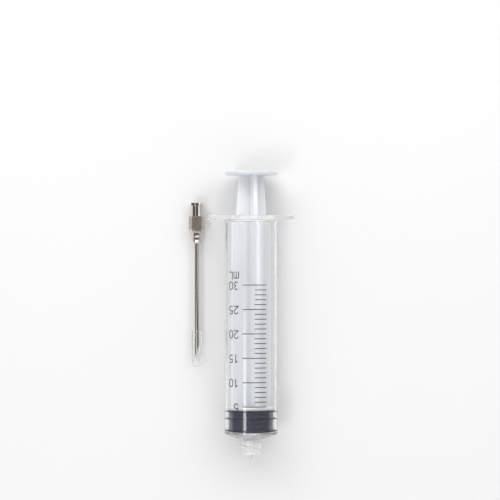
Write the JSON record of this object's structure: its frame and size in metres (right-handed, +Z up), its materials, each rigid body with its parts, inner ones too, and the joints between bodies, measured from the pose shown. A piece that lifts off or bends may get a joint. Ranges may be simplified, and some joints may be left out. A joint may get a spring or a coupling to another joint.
{
  "type": "meat injector",
  "caption": "Clear luer-lock syringe with a sliding and turning plunger and a printed volume scale, and a loose metal needle with a clear tip guard, for injecting marinade.",
  "frame": {"origin": "middle of the footprint, on the surface that the syringe lies on", "axes": "+Y along the barrel from the luer tip to the thumb disc, +Z up from the surface to the printed side, +X away from the loose needle"},
  "size_m": [0.0518, 0.1397, 0.0266],
  "materials": {
    "clear_plastic": "clear moulded, slightly hazy",
    "print": "screen-printed ink",
    "piston_rubber": "smooth, lightly oiled",
    "milky_plastic": "milky, satin",
    "plated_hub": "nickel plate, polished with a matte block",
    "steel_tube": "drawn and polished",
    "guard_plastic": "clear extruded tube"
  },
  "bodies": {
    "barrel": {"barrel": "clear_plastic", "scale_ticks": "print", "scale_numerals": "print"},
    "piston": {"piston_seal": "piston_rubber"},
    "plunger": {"plunger_rod": "milky_plastic"},
    "needle": {"needle_hub": "plated_hub", "needle_tube": "steel_tube"},
    "guard": {"needle_guard": "guard_plastic"}
  },
  "joints": [
    {"name": "plunger_slide", "type": "slide", "parent": "barrel", "child": "piston", "axis": [0, 1, 0], "range_m": [0, 0.088]},
    {"name": "plunger_spin", "type": "hinge", "parent": "piston", "child": "plunger", "pos_m": [0.00453, 0, 0.0133], "axis": [0, 1, 0], "continuous": true},
    {"name": "needle_lift", "type": "slide", "parent": "barrel", "child": "needle", "axis": [0, 0, 1], "range_m": [0, 0.06]},
    {"name": "guard_pull", "type": "slide", "parent": "needle", "child": "guard", "axis": [0, -1, 0], "range_m": [0, 0.03]}
  ]
}
